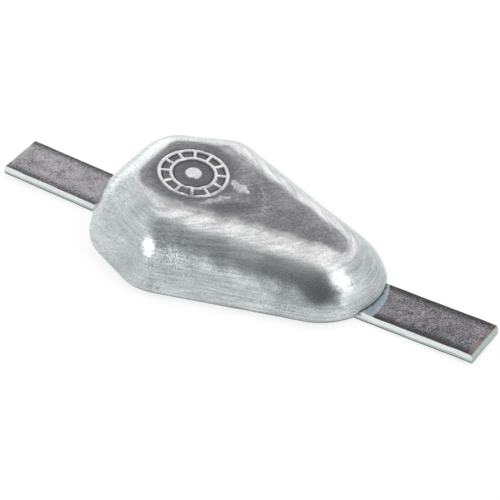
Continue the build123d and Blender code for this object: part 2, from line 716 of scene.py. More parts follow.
    def frosted(self, rows: Grid) -> Grid:
        """Share of the matt skin on the walls just over the bar, at both ends.

        Args:
            rows: Points of the plain form.

        Returns:
            Shares from 0 to 1.
        """
        x, y = np.abs(rows[..., 0]), np.abs(rows[..., 1])
        over_bar = smooth_step(0.023, 0.015, y) * smooth_step(0.060, 0.070, x)
        return over_bar * smooth_step(0.021, 0.010, rows[..., 2])

    def flecked(self, rows: Grid) -> Grid:
        """Share of coarse dark flecks: the strongest of the patches."""
        return np.maximum.reduce([spot.at(rows) for spot in self.flecks])

    def hollowed(self, rows: Grid) -> Grid:
        """Depth of the blow holes and dents, summed."""
        return sum(spot.at(rows) for spot in self.hollows)

    def lapped(self, rows: Grid) -> Grid:
        """Height of the cold laps, from -1 to 1: the arcs' sum.

        Args:
            rows: Points on the top face.

        Returns:
            One height a point.
        """
        x, y = rows[..., 0] - self.lap_middle[0], rows[..., 1] - self.lap_middle[1]
        out, bearing = np.hypot(x, y), np.degrees(np.arctan2(y, x))
        return sum(lap.at(out, bearing) for lap in self.laps)

    def spilled(self, rows: Grid) -> Grid:
        """Share of spilt metal: ragged ovals, full where their distance is small.

        Args:
            rows: Points on the top face.

        Returns:
            Shares from 0 to 1.
        """
        ragged = self.spill_edge.at(in_plan(rows))
        return np.maximum.reduce([
            spill.strength * smooth_step(1.15, 0.55, spill.distance(rows) + ragged)
            for spill in self.spills
        ])


@dataclass
class Casting:
    """Soft metal cast round the bar: a rounded teardrop with a flat back.

    Seen from the top its outline is the hull of five circles, one a corner. Each circle
    shrinks with height, first by the draft of the wall and then by an arc over the top.

    Attributes:
        nose_reach, heel_reach: How far the casting reaches along +X and along -X.
        width: Greatest width.
        nose_radius, shoulder_radius, heel_radius: Radii of the circles at the widest level.
        shoulder_x: Place of the shoulders' middles along X.
        heel_spread: Distance between the middles of the wide end's two circles.
        rim_radius: Rounding of the edge round the back.
        draft: Lean of the wall, in degrees.
        crown_height: Height of the top face over the shoulders.
        crown_fall: Fall of the top face towards the nose, in degrees.
        wide_end_rounding, nose_rounding: Radii of the arcs over the wall.
        tip_radius: Smallest radius that a corner's rounding may leave at the top.
        crevice: Gap left between the casting and the bar.
        back_middle: Point that the back's rings close in on.
        field_reach: How far from the mark's middle the top face keeps its closest rings.
        field_share: Share of the outline's radius that those rings may fill.
        brink: Last part of the quarter turn of levels, in radians, where they lie closest.
        arc_columns, line_columns: Columns round each corner and along each flank.
        back_rows, rim_rows, crown_rows, brink_rows, top_rows, field_rows: Rings over each
            part, from the back's middle to the mark's.
        mark: The raised mark.
        skin: What casting and handling left on the skin.
    """

    nose_reach: float = 0.088
    heel_reach: float = 0.087
    width: float = 0.1225
    nose_radius: float = 0.0375
    shoulder_radius: float = 0.032
    shoulder_x: float = -0.030
    heel_radius: float = 0.038
    heel_spread: float = 0.027
    rim_radius: float = 0.006
    draft: float = 13.0
    crown_height: float = 0.0425
    crown_fall: float = 7.3
    wide_end_rounding: float = 0.043
    nose_rounding: float = 0.033
    tip_radius: float = 0.0015
    crevice: float = 0.00012
    back_middle: Triple = (-0.012, 0.0, 0.0)
    field_reach: float = 0.034
    field_share: float = 0.9
    brink: float = 0.12
    arc_columns: tuple[int, ...] = (96, 48, 40, 40, 48)
    line_columns: tuple[int, ...] = (72, 20, 56, 20, 72)
    back_rows: int = 7
    rim_rows: int = 10
    crown_rows: int = 46
    brink_rows: int = 12
    top_rows: int = 22
    field_rows: int = 80
    mark: FoundryMark = FoundryMark()
    skin: CastSkin = CastSkin()

    def corners(self) -> tuple[Grid, Grid, Grid]:
        """The five corner circles, from the nose anticlockwise.

        Returns:
            Their centres, their radii at the widest level and the roundings over them.
        """
        nose_x = self.nose_reach - self.nose_radius
        heel_x = self.heel_radius - self.heel_reach
        shoulder_y = self.width / 2 - self.shoulder_radius
        heel_y = self.heel_spread / 2
        centres = np.array([
            (nose_x, 0.0), (self.shoulder_x, shoulder_y), (heel_x, heel_y),
            (heel_x, -heel_y), (self.shoulder_x, -shoulder_y),
        ])
        nose, shoulder, heel = self.nose_radius, self.shoulder_radius, self.heel_radius
        radii = np.array([nose, shoulder, heel, heel, shoulder])
        return centres, radii, np.array([self.nose_rounding] + [self.wide_end_rounding] * 4)

    def top_height(self, x: Grid | float) -> Grid | float:
        """Height of the top face, which falls towards the nose."""
        return self.crown_height - slope(self.crown_fall) * (x - self.shoulder_x)

    def wall_inset(self, height: Grid, top: Grid, rounding: Grid) -> Grid:
        """How far the wall stands inside the widest level: a drafted line, then an arc.

        Args:
            height: Height over the back.
            top: Height of the top face at that corner.
            rounding: Radius of the arc over that corner.

        Returns:
            The inset, 0 at the rim's height.
        """
        lean = math.radians(self.draft)
        centre = top - rounding
        arc_start = centre + rounding * math.sin(lean)

        def inset(z: Grid | float) -> Grid:
            """Inset from the drafted line's end: (z - start) tan(draft), or the arc's sagitta.

            Args:
                z: Height over the back.

            Returns:
                The inset, negative under the line's end.
            """
            below = (z - arc_start) * math.tan(lean)
            chord = np.sqrt(np.maximum(rounding**2 - (z - centre) ** 2, 0.0))
            return np.where(z < arc_start, below, rounding * math.cos(lean) - chord)

        return inset(height) - inset(self.rim_radius)

    def outline(self, radii: Grid) -> Grid:
        """Hull of the five corner circles: arcs joined by their outer tangents.

        A tangent's normal lies acos((r1 - r2) / distance) before the line between two centres.

        Args:
            radii: Radii (level, corner).

        Returns:
            Outlines (level, column, 2), anticlockwise from the nose's first tangent point.
        """
        centres = self.corners()[0]
        step = np.roll(centres, -1, axis=0) - centres
        bearing = np.arctan2(step[:, 1], step[:, 0])
        distance = np.hypot(step[:, 0], step[:, 1])
        normals = bearing - np.arccos((radii - np.roll(radii, -1, axis=1)) / distance)
        first = np.roll(normals, 1, axis=1)
        turn = np.mod(normals - first, 2 * math.pi)
        blocks = []
        for corner, (arc, line) in enumerate(zip(self.arc_columns, self.line_columns)):
            share = np.arange(arc) / arc
            angle = first[:, corner, None] + turn[:, corner, None] * share
            spoke = np.stack([np.cos(angle), np.sin(angle)], axis=-1)
            blocks.append(centres[corner] + radii[:, corner, None, None] * spoke)
            following = (corner + 1) % len(centres)
            angle = normals[:, corner, None]
            normal = np.stack([np.cos(angle), np.sin(angle)], axis=-1)
            start = centres[corner] + radii[:, corner, None, None] * normal
            end = centres[following] + radii[:, following, None, None] * normal
            share = (np.arange(line) / line)[None, :, None]
            blocks.append(start + (end - start) * share)
        return np.concatenate(blocks, axis=1)

    def rim(self) -> Grid:
        """The edge round the back: a quarter circle from the flat back to the widest level.

        Returns:
            Points (row, column, 3), the lowest row first.
        """
        turn = np.linspace(0.0, math.pi / 2, self.rim_rows)
        radii = self.corners()[1] - self.rim_radius * (1 - np.sin(turn))[:, None]
        plan = self.outline(radii)
        height = np.broadcast_to(self.rim_radius * (1 - np.cos(turn))[:, None], plan.shape[:2])
        return np.concatenate([plan, height[..., None]], axis=-1)

    def crown(self) -> Grid:
        """Walls and rounding: levels that tilt towards the nose as they near the top face.

        A level's share of the height is the sine of even steps, which are finer over the brink.

        Returns:
            Points (row, column, 3), the lowest row first.
        """
        brink = math.pi / 2 - self.brink
        climb = np.linspace(0.0, brink, self.crown_rows)[1:]
        share = np.sin(np.append(climb, np.linspace(brink, math.pi / 2, self.brink_rows + 1)[1:]))
        centres, radii, roundings = self.corners()
        top = self.top_height(centres[:, 0])
        full = self.wall_inset(top, top, roundings)
        squeeze = np.minimum(1.0, (radii - self.tip_radius) / full)
        height = self.rim_radius + (top - self.rim_radius) * share[:, None]
        plan = self.outline(radii - squeeze * self.wall_inset(height, top, roundings))
        tilt = np.arctan(slope(self.crown_fall) * share)[:, None]
        level = (self.rim_radius + (self.top_height(0.0) - self.rim_radius) * share)[:, None]
        across = plan[..., 0] * np.cos(tilt)
        return np.stack([across, plan[..., 1], level - plan[..., 0] * np.sin(tilt)], axis=-1)

    def top_face(self, edge: Grid) -> Grid:
        """Top face inside the last level: rings that close in on the mark's middle.

        A ring's bearings go from the outline's own to even ones, and its radius is a share of
        the outline's radius on the same bearing, first down to the field and then evenly to 0.
        The field is the lesser of its share of the outline and its reach, by a mean of power -6.

        Args:
            edge: The last level's points (column, 3).

        Returns:
            Rings (row, column, 3), the innermost just off the middle.
        """
        x, y = edge[:, 0] - self.mark.x, edge[:, 1]
        bearing = np.unwrap(np.arctan2(y, x))
        even = bearing.mean() + 2 * math.pi * (np.arange(x.size) - (x.size - 1) / 2) / x.size
        step = np.linspace(0.0, 1.0, self.top_rows + 1)[1:, None]
        angle = bearing + (even - bearing) * smooth_step(0.0, 1.0, step)
        angle = np.concatenate([angle, np.broadcast_to(even, (self.field_rows, x.size))])
        rim = np.interp(angle, bearing, np.hypot(x, y), period=2 * math.pi)
        field = ((self.field_share * rim) ** -6 + self.field_reach**-6) ** (-1 / 6)
        outer = rim[: self.top_rows] + (field[: self.top_rows] - rim[: self.top_rows]) * step
        inner = np.linspace(1.0, 0.0, self.field_rows + 2)[1:-1, None] * field[self.top_rows :]
        out = np.concatenate([outer, inner])
        px, py = self.mark.x + out * np.cos(angle), out * np.sin(angle)
        return np.stack([px, py, self.top_height(px)], axis=-1)

    def back(self, edge: Grid) -> Grid:
        """Flat back: the rim's lowest outline drawn in towards one point.

        Args:
            edge: The rim's first row (column, 3).

        Returns:
            Rings (row, column, 3), the innermost first.
        """
        share = np.linspace(0.0, 1.0, self.back_rows + 2)[1:-1, None, None]
        middle = np.array(self.back_middle)
        return middle + (edge - middle) * share

    def nose_clearance(self, x: Grid, y: Grid) -> Grid:
        """Distance of points on the bar from the nose, outside it; large behind the nose's middle.

        Args:
            x: Places along X.
            y: Places across.

        Returns:
            Distances, negative inside the nose.
        """
        nose_x = self.nose_reach - self.nose_radius
        return np.where(x > nose_x, np.hypot(x - nose_x, y) - self.nose_radius, 1.0)

    def carve(self, rows: Grid) -> tuple[Grid, dict[Mask, Grid]]:
        """Hand-cast unevenness, the raised mark, cold laps and dents, set along the normals.

        Args:
            rows: Points of the plain form.

        Returns:
            The finished points, and the masks for the finish.
        """
        mark, skin = self.mark, self.skin
        normal = grid_normals(rows)
        x, y, z = rows[..., 0], rows[..., 1], rows[..., 2]
        fall = math.radians(self.crown_fall)
        facing = normal @ np.array([math.sin(fall), 0.0, math.cos(fall)])
        off_back = smooth_step(0.0003, 0.004, z)
        top_face = skin.dull_top(rows) * smooth_step(0.93, 0.985, facing) * off_back
        rounding = smooth_step(0.88, 0.965, facing) * (1.0 - top_face) * off_back
        out, edge = mark.out(x, y), mark.diameter / 2
        on_mark = (out < edge + 0.0015) * (z > 0.02)
        calmed = 1.0 - 0.75 * smooth_step(edge + 0.006, edge, out)
        relief = mark.relief(x, y) * on_mark
        kept = relief * mark.worn(rows)
        spill, lap = skin.spilled(rows) * top_face, skin.lapped(rows) * top_face
        hollow = skin.hollowed(rows)
        swell = sum(ripple.at(rows) for ripple in skin.swells) - skin.sunk
        lift = (swell * calmed + skin.grain.at(rows)) * off_back
        lift += kept * mark.rise + skin.lap_rise * lap
        lift += skin.spill_rise * spill * (1.0 + skin.spill_grain.at(rows)) - hollow
        return self.inside_box(rows + normal * lift[..., None]), {
            Mask.TOP_FACE: top_face,
            # The rounding mask carries the painted highlight on the upward-facing rounding.
            Mask.ROUNDING: rounding * (0.3 + 0.7 * smooth_step(-0.05, -0.02, x)),
            Mask.RIDGE: kept,
            # The groove mask carries painted shade beside the mark's ridges, in sunk cold laps and
            # in dents.
            Mask.GROOVE: np.maximum(
                smooth_step(0.6, 0.05, relief) * mark.beside_ridge(x, y) * on_mark,
                -0.42 * lap + smooth_step(0.0001, 0.0005, hollow) * 0.5,
            ),
            Mask.RESIDUE: np.maximum(spill, 0.5 * lap),
            Mask.GRIME: np.maximum(mark.dirt(x, y), skin.smudged(rows)),
            # Painted shade on the front, standing in for dark reflections.
            Mask.FLANK: skin.flank_shade(rows),
            Mask.FROST: skin.frosted(rows),
            Mask.PITTED: skin.flecked(rows),
        }

    def inside_box(self, rows: Grid) -> Grid:
        """Points kept inside the box of the casting's solid.

        Args:
            rows: Points to keep inside.

        Returns:
            Points with each coordinate no further out than the solid reaches.
        """
        low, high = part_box(Node.CASTING.value)
        return np.clip(rows, np.array(low), np.array((self.nose_reach, high[1], high[2])))

    def build(self, strap: StrapBar) -> bpy.types.Object:
        """Make the casting, cut the bar's slot in it and dress it.

        Args:
            strap: The bar that runs through it.

        Returns:
            The finished piece.
        """
        rim = self.rim()
        crown = self.crown()
        plain = np.concatenate([self.back(rim[0]), rim, crown, self.top_face(crown[-1])])
        rows, masks = self.carve(plain)
        piece = ring_skin("cast_body", rows, masks)
        self.cut_slot(piece, strap)
        finish_piece(piece, CastMetalFinish().material(), Node.CASTING)
        return piece

    def cut_slot(self, piece: bpy.types.Object, strap: StrapBar) -> None:
        """Cut the bar's slot out of the piece and make the cut's edges sharp.

        Args:
            piece: The casting's closed skin, which keeps the result.
            strap: The bar that lies in the slot.
        """
        cutter = strap.slot_cutter(self.crevice, reach=self.nose_reach + 0.01)
        cut = piece.modifiers.new("bar_slot", "BOOLEAN")
        cut.operation = "DIFFERENCE"
        cut.solver = "EXACT"
        cut.object = cutter
        graph = bpy.context.evaluated_depsgraph_get()
        result = bpy.data.meshes.new_from_object(piece.evaluated_get(graph))
        piece.modifiers.clear()
        piece.data = result
        bpy.data.objects.remove(cutter)
        result.shade_smooth()
        result.set_sharp_from_angle(angle=math.radians(50.0))


# Shader maths.


class Wire:
    """A shader value that adds Math nodes when it is used in an expression."""

    def __init__(self, bench: "Bench", socket: bpy.types.NodeSocket) -> None:
        """Hold an output socket.

        Args:
            bench: The material's node builder.
            socket: The output that carries the value.
        """
        self.bench = bench
        self.socket = socket

    def _math(self, operation: str, first: "Value", second: "Value") -> "Wire":
        """One Math node."""
        return self.bench.node("ShaderNodeMath", {"operation": operation}, {0: first, 1: second})

    def __add__(self, other: "Value") -> "Wire":
        """Sum."""
        return self._math("ADD", self, other)

    __radd__ = __add__

    def __sub__(self, other: "Value") -> "Wire":
        """Difference."""
        return self._math("SUBTRACT", self, other)

    def __rsub__(self, other: "Value") -> "Wire":
        """Reflected difference."""
        return self._math("SUBTRACT", other, self)

    def __mul__(self, other: "Value") -> "Wire":
        """Product."""
        return self._math("MULTIPLY", self, other)

    __rmul__ = __mul__

    def clamped(self) -> "Wire":
        """The value kept between 0 and 1."""
        return self.bench.node("ShaderNodeClamp", {}, {"Value": self})

    def eased(self, low: float, high: float) -> "Wire":
        """Ease from 0 to 1 as the value goes from low to high.

        Args:
            low: Value that gives 0.
            high: Value that gives 1; it may be less than low.

        Returns:
            The eased value.
        """
        if low > high:
            return 1.0 - self.eased(high, low)
        return self.bench.node(
            "ShaderNodeMapRange", {"interpolation_type": "SMOOTHSTEP"},
            {"Value": self, "From Min": low, "From Max": high},
        )


Value = Wire | float
Paint = Wire | Colour


class Bench:
    """Builds one node tree: every node but the output comes from its node method."""

    def __init__(self, tree: bpy.types.NodeTree) -> None:
        """Empty the tree.

        Args:
            tree: The material's or the world's node tree.
        """
        self.tree = tree
        self.tree.nodes.clear()

    def node(
        self,
        kind: str,
        settings: dict[str, object],
        inputs: dict[int | str, object],
        output: int | str = 0,
    ) -> Wire:
        """Add one node.

        Args:
            kind: The node's type.
            settings: Its own settings, set before its sockets.
            inputs: A value or a wire for each named or numbered input.
            output: The output to hand back.

        Returns:
            The chosen output.
        """
        made = self.tree.nodes.new(kind)
        for name, value in settings.items():
            setattr(made, name, value)
        for key, value in inputs.items():
            if isinstance(value, Wire):
                self.tree.links.new(value.socket, made.inputs[key])
            else:
                made.inputs[key].default_value = value
        return Wire(self, made.outputs[output])

    def place(self) -> Wire:
        """Object coordinates."""
        return self.node("ShaderNodeTexCoord", {}, {}, "Object")

    def part(self, vector: Wire, axis: str) -> Wire:
        """One coordinate of a vector."""
        return self.node("ShaderNodeSeparateXYZ", {}, {0: vector}, axis)

    def masks(self, *masks: Mask) -> list[Wire]:
        """Masks left on the piece's vertices."""
        kind = "ShaderNodeAttribute"
        return [self.node(kind, {"attribute_name": mask.value}, {}, "Fac") for mask in masks]

    def turned(self, place: Wire, scale: Triple, turn: Triple) -> Wire:
        """Coordinates turned, then stretched.

        Args:
            place: Coordinates to start from.
            scale: Factors along the turned axes.
            turn: Angles about X, Y and Z, in degrees.

        Returns:
            The new coordinates.
        """
        angles = tuple(math.radians(angle) for angle in turn)
        turned = self.node("ShaderNodeMapping", {}, {"Vector": place, "Rotation": angles})
        return self.node("ShaderNodeVectorMath", {"operation": "MULTIPLY"}, {0: turned, 1: scale})

    def grey(self, level: Value) -> Wire:
        """A grey of the given level."""
        return self.node("ShaderNodeCombineColor", {}, {0: level, 1: level, 2: level})

    def blend(self, factor: Value, first: Paint, second: Paint, kind: str = "MIX") -> Wire:
        """Mix of two colours.

        Args:
            factor: Share of the second.
            first: A colour or a wire.
            second: A colour or a wire.
            kind: Blend type.

        Returns:
            The mixed colour.
        """
        first, second = (
            paint if isinstance(paint, Wire) else (*paint, 1.0) for paint in (first, second)
        )
        settings = {"data_type": "RGBA", "blend_type": kind}
        return self.node("ShaderNodeMix", settings, {0: factor, 6: first, 7: second}, 2)

    def layers(self, colour: Paint, *layers: tuple[Value, Paint]) -> Wire:
        """Colours laid over one another.

        Args:
            colour: The lowest colour.
            layers: The share and the colour of each layer over it.

        Returns:
            The colour seen.
        """
        for share, paint in layers:
            colour = self.blend(share, colour, paint)
        return colour

    def bumps(self, *layers: tuple[Wire, float]) -> Wire:
        """Bumped normal of several layers, each over the one before it.

        Args:
            layers: Heights from 0 to 1, each with the real height of 1 in metres.

        Returns:
            The normal.
        """
        normal: dict[str, Wire] = {}
        for height, depth in layers:
            inputs = {"Height": height, "Distance": depth, "Strength": 1.0, **normal}
            normal = {"Normal": self.node("ShaderNodeBump", {}, inputs)}
        return normal["Normal"]

    def surface(self, colour: Wire, metal: Wire, rough: Wire, normal: Wire) -> None:
        """Principled surface, joined to the output.

        Args:
            colour: Base colour.
            metal: Share of metal.
            rough: Roughness.
            normal: Bumped normal.
        """
        self.end("ShaderNodeOutputMaterial", self.node("ShaderNodeBsdfPrincipled", {}, {
            "Base Color": colour, "Metallic": metal, "Roughness": rough, "Normal": normal,
        }))

    def end(self, kind: str, shader: Wire) -> None:
        """Join a shader to an output node."""
        made = self.tree.nodes.new(kind)
        self.tree.links.new(shader.socket, made.inputs["Surface"])


def new_material(name: str) -> tuple[bpy.types.Material, Bench]:
    """Start a material.

    Args:
        name: Its name.

    Returns:
        An empty node material and the builder for its nodes.
    """
    material = bpy.data.materials.new(name)
    material.use_nodes = True
    return material, Bench(material.node_tree)


# Finishes.


@dataclass(frozen=True)
class Grain:
    """Fractal noise of a finish, from 0 to 1 with a middle of 0.5.

    Attributes:
        cells: Cells a metre, or as many along each turned axis.
        detail: Octaves.
        roughness: Strength of the finer octaves.
        bend: How far the pattern is warped.
        turn: Angles of the axes about X, Y and Z, in degrees.
    """

    cells: float | Triple
    detail: float = 3.0
    roughness: float = 0.5
    bend: float = 0.0
    turn: Triple = (0.0, 0.0, 0.0)

    def on(self, bench: Bench, place: Wire) -> Wire:
        """The noise at a place.

        Args:
            bench: The node builder.
            place: Object coordinates.

        Returns:
            The noise's height.
        """
        scale = self.cells
        if isinstance(scale, tuple):
            place, scale = bench.turned(place, scale, self.turn), 1.0
        return bench.node("ShaderNodeTexNoise", {}, {
            "Vector": place, "Scale": scale, "Detail": self.detail,
            "Roughness": self.roughness, "Distortion": self.bend,
        })


@dataclass(frozen=True)
class CastMetalFinish:
    """Bright wire-brushed casting with a duller top, a raised mark and painted light and shade.

    Attributes:
        wall, wall_dark: Brushed walls and their duller patches.
        rounding_sheen: Painted highlight on the rounding: a light warm tone where the skin faces
            up.
        top, top_light: Dull top face and its lighter patches; the top's dark tone is partly its
            own dull, stained skin and partly a painted dark reflection.
        grime: Darkest dirt on the top face.
        bright: Light metal on the ridges and the spills; on the ridges it is partly worn metal and
            partly a painted highlight.
        speck_and_shade: Near-black of the dark specks, of the painted shade in the grooves and of
            the painted shadow along the back edge.
        level_strokes, slant_strokes, cross_strokes: Brush strokes along the walls, round the
            wide end and over the top face.
        grit: Grain between the strokes of the top face.
        heel_patches: Ragged line along which the slanting strokes begin.
        clouds, mottle, specks: Patches of tone, from large to fine.
    """

    wall: Colour = (0.63, 0.675, 0.67)
    wall_dark: Colour = (0.51, 0.55, 0.555)
    rounding_sheen: Colour = (0.78, 0.768, 0.775)
    top: Colour = (0.265, 0.258, 0.28)
    top_light: Colour = (0.43, 0.422, 0.44)
    grime: Colour = (0.15, 0.143, 0.165)
    bright: Colour = (0.96, 0.965, 0.965)
    speck_and_shade: Colour = (0.06, 0.06, 0.07)
    level_strokes: Grain = Grain((60.0, 60.0, 950.0), 3.0, 0.65, 0.25)
    slant_strokes: Grain = Grain((80.0, 820.0, 820.0), 3.0, 0.65, 0.2, turn=(0.0, 38.0, 25.0))
    cross_strokes: Grain = Grain((70.0, 1300.0, 200.0), 2.5, 0.6, 0.3, turn=(0.0, 0.0, -52.0))
    grit: Grain = Grain(640.0, 2.0, 0.6)
    heel_patches: Grain = Grain(42.0, 1.0)
    clouds: Grain = Grain(48.0)
    mottle: Grain = Grain(330.0, 4.0, 0.65)
    specks: Grain = Grain(1300.0, 2.0, 0.6)

    def brushing(self, bench: Bench, place: Wire, top_face: Wire) -> Wire:
        """Wire-brush streaks: level on the walls, slanting round the wide end, crossed on top.

        Args:
            bench: The node builder.
            place: Object coordinates.
            top_face: Mask of the dull top.

        Returns:
            Streak height, 0 to 1.
        """
        level = self.level_strokes.on(bench, place)
        slant = self.slant_strokes.on(bench, place)
        cross = self.cross_strokes.on(bench, place) * 0.45 + self.grit.on(bench, place) * 0.55
        ragged = (self.heel_patches.on(bench, place) - 0.5) * 0.08
        at_heel = (bench.part(place, "X") + ragged).eased(-0.018, -0.052)
        walls = level + (slant - level) * at_heel * 0.65
        return walls + (cross - walls) * top_face

    def material(self) -> bpy.types.Material:
        """Build the node material.

        The colour goes from the walls through a painted highlight on the rounding and the dull
        top, partly a painted dark reflection, to the marks on them, with painted shade beside the
        ridges and a painted shadow along the back edge. It is then shaded by the strokes, by a
        painted shade that darkens it towards the bottom, by the painted dark reflection on the
        front flank and by the flecked patches.

        Returns:
            The material.
        """
        material, bench = new_material("cast_anode_metal")
        place = bench.place()
        top_face, rounding, ridge, groove, residue, grime, flank, frost, pitted = bench.masks(
            Mask.TOP_FACE, Mask.ROUNDING, Mask.RIDGE, Mask.GROOVE, Mask.RESIDUE, Mask.GRIME,
            Mask.FLANK, Mask.FROST, Mask.PITTED,
        )
        streaks = self.brushing(bench, place, top_face)
        cloud, mottle, speck = (
            grain.on(bench, place) for grain in (self.clouds, self.mottle, self.specks)
        )
        height = bench.part(place, "Z")

        grit = (mottle * 0.6 + speck * 0.4).eased(0.38, 0.58)
        dull = (top_face * 1.25 + (mottle - 0.5) * 0.9 - 0.12).eased(0.0, 0.95)
        patches = (cloud * 0.5 + streaks * 0.3 + mottle * 0.2).eased(0.38, 0.62)
        dirt = (grime * (0.35 + mottle * 0.7)).clamped()
        spills = (residue * (0.4 + mottle.eased(0.36, 0.6) * 0.6)).clamped()
        # Painted contact shadow on the lowest few millimetres of the wall.
        rim_shadow = height.eased(0.0050, 0.0026) * height.eased(0.0, 0.0005)
        colour = bench.layers(
            self.wall,
            (cloud.eased(0.38, 0.68), self.wall_dark),
            # Painted highlight: a light warm tone on the upward-facing rounding.
            ((rounding * (0.45 + grit * 0.55)).clamped(), self.rounding_sheen),
            # Dull top: partly its own dull, stained skin, partly a painted dark reflection.
            (dull, bench.layers(self.top, (patches, self.top_light), (dirt, self.grime))),
            # Painted shade: near-black in the creases beside the mark's ridges, in sunk cold laps
            # and in dents.
            (groove * 0.92, self.speck_and_shade),
            # Ridges laid light: partly worn metal, partly a painted highlight.
            ((ridge * (0.7 + mottle * 0.6)).clamped() * 0.93, self.bright),
            (spills * 0.62, self.bright),
            (speck.eased(0.34, 0.26) * (1.0 - top_face) * 0.5, self.speck_and_shade),
            # Painted shadow along the back edge.
            (rim_shadow * mottle.eased(0.25, 0.5) * 0.6, self.speck_and_shade),
        )

        # Painted shade: the walls grow darker towards the bottom.
        low = height.eased(0.033, 0.016)
        strokes = streaks.eased(0.3, 0.7)
        fine = strokes * 0.43 + speck.eased(0.34, 0.66) * (0.20 + low * 0.08)
        # Painted shade: the flank mask darkens the front walls, standing in for dark reflections.
        shade = (0.675 + fine) * (1.0 - low * 0.13) * (1.0 - flank * (0.21 + strokes * 0.28))
        shade = shade * (1.0 - pitted * speck.eased(0.52, 0.4) * 0.55)
        colour = bench.blend(1.0, colour, bench.grey(shade), "MULTIPLY")

        rough = 0.16 + cloud * 0.05 + (1.0 - streaks) * 0.08 + top_face * 0.14
        rough = (rough - ridge * 0.04 + groove * 0.2 + frost * 0.3).clamped()
        metal = (0.92 - (ridge + residue + frost).clamped() * 0.65).clamped()
        normal = bench.bumps(
            (cloud, 0.00006), (mottle * (0.45 + rounding), 0.00005),
            (streaks, 0.00004), (speck, 0.00003),
        )
        bench.surface(colour, metal, rough, normal)
        return material


@dataclass(frozen=True)
class MillScaleFinish:
    """Hot-rolled flat bar: dark speckled scale on its wide faces and bright edges.

    Attributes:
        scale_dark, scale_mid, scale_light: Scale, from the darkest to where it is thin.
        edge, edge_dull: Bright rolled edges and their duller patches.
        cleaned: Bluish steel beside the casting.
        rust: Brown bloom on the rolled-over ends.
        sheared: Dull steel of the sheared end faces.
        clouds, patches, flecks: Patches of tone, from large to fine.
        strokes: Drawn strokes along the bar.
    """

    scale_dark: Colour = (0.045, 0.042, 0.047)
    scale_mid: Colour = (0.20, 0.192, 0.206)
    scale_light: Colour = (0.50, 0.485, 0.51)
    edge: Colour = (0.80, 0.84, 0.82)
    edge_dull: Colour = (0.55, 0.62, 0.60)
    cleaned: Colour = (0.36, 0.45, 0.56)
    rust: Colour = (0.26, 0.19, 0.155)
    sheared: Colour = (0.40, 0.485, 0.465)
    flecks: Grain = Grain(1150.0, 3.0, 0.75)
    patches: Grain = Grain(160.0, 3.0, 0.6)
    clouds: Grain = Grain(38.0, 2.0)
    strokes: Grain = Grain((60.0, 900.0, 900.0), 3.0, 0.6)

    def material(self) -> bpy.types.Material:
        """Build the node material.

        Returns:
            The material.
        """
        material, bench = new_material("mill_scale_steel")
        place = bench.place()
        scale, cleaned, joint, edge_low, end_face = bench.masks(
            Mask.SCALE, Mask.CLEANED, Mask.JOINT_SHADOW, Mask.EDGE_LOW, Mask.END_FACE,
        )
        x, y = bench.part(place, "X"), bench.part(place, "Y")
        fleck, patch, cloud, streaks = (
            grain.on(bench, place)
            for grain in (self.flecks, self.patches, self.clouds, self.strokes)
        )
        off_middle = bench.node("ShaderNodeMath", {"operation": "ABSOLUTE"}, {0: y})
        margin = (off_middle + (patch - 0.5) * 0.008).eased(0.0085, 0.0145)
        heel_wear = x.eased(0.03, -0.03) * 0.11
        light = fleck + 0.03 + heel_wear + (cloud - 0.5) * 0.2 + (patch - 0.5) * 0.38
        light = (light - margin * 0.22).clamped()
        scaled = bench.layers(
            self.scale_dark,
            (light.eased(0.36, 0.54), self.scale_mid), (light.eased(0.5, 0.72), self.scale_light),
        )
        worn_low = (edge_low + (streaks - 0.5) * 1.2 + (patch - 0.5) * 0.8).eased(0.2, 0.9)
        blued = bench.layers(self.cleaned, (patch.eased(0.4, 0.7), self.edge_dull))
        nose_end = x.eased(0.1502, 0.1522)
        colour = bench.layers(
            self.edge,
            (streaks.eased(0.4, 0.75) * 0.5, self.edge_dull),
            (worn_low * 0.85, self.sheared),
            (end_face * 0.9, self.sheared),
            (scale, scaled),
            (cleaned * 0.9, blued),
            # Painted shadow line along the joint with the casting.
            (joint * 0.85, self.scale_dark),
            (nose_end * scale * patch.eased(0.3, 0.6) * 0.75, self.rust),
        )
        metal = 0.9 - scale * 0.55
        rough = (0.34 + scale * 0.16 + fleck * 0.14 - cleaned * 0.1).clamped()
        normal = bench.bumps((patch, 0.0002), (fleck, 0.00012), (streaks, 0.00004))
        bench.surface(colour, metal, rough, normal)
        return material


@dataclass(frozen=True)
class PaleFloorFinish:
    """White paper floor: lit white that keeps a soft shadow.

    Attributes:
        paper: Colour of the paper.
        glow: Share of even white that camera and mirror rays see.
        level: Strength of that white.
    """

    paper: Colour = (0.90, 0.90, 0.90)
    glow: float = 0.7
    level: float = 1.13

    def material(self) -> bpy.types.Material:
        """Build the node material.

        Returns:
            The material.
        """
        material, bench = new_material("pale_floor")
        camera, glossy, through = (
            bench.node("ShaderNodeLightPath", {}, {}, f"Is {ray} Ray")
            for ray in ("Camera", "Glossy", "Transmission")
        )
        seen = (camera + glossy + through).clamped()
        paper = bench.node("ShaderNodeBsdfDiffuse", {}, {"Color": (*self.paper, 1.0)})
        white = {"Color": (1.0, 1.0, 1.0, 1.0), "Strength": self.level}
        white = bench.node("ShaderNodeEmission", {}, white)
        both = bench.node("ShaderNodeMixShader", {}, {0: seen * self.glow, 1: paper, 2: white})
        bench.end("ShaderNodeOutputMaterial", both)
        return material


# The studio.


@dataclass(frozen=True)
class SoftPatch:
    """One soft patch of the room, bright as a panel of light or dull as a dark flat.

    Attributes:
        bearing: Direction in plan, in degrees from +X.
        rise: Elevation of its middle, in degrees.
        core: Angle from the middle within which it is full, in degrees.
        edge: Angle at which it has faded away, in degrees.
        level: Brightness that it blends the room to.
    """

    bearing: float
    rise: float
    core: float
    edge: float
    level: float

    def direction(self) -> Triple:
        """Unit vector towards its middle.

        Returns:
            Its three coordinates.
        """
        bearing, rise = math.radians(self.bearing), math.radians(self.rise)
        flat = math.cos(rise)
        return flat * math.cos(bearing), flat * math.sin(bearing), math.sin(rise)


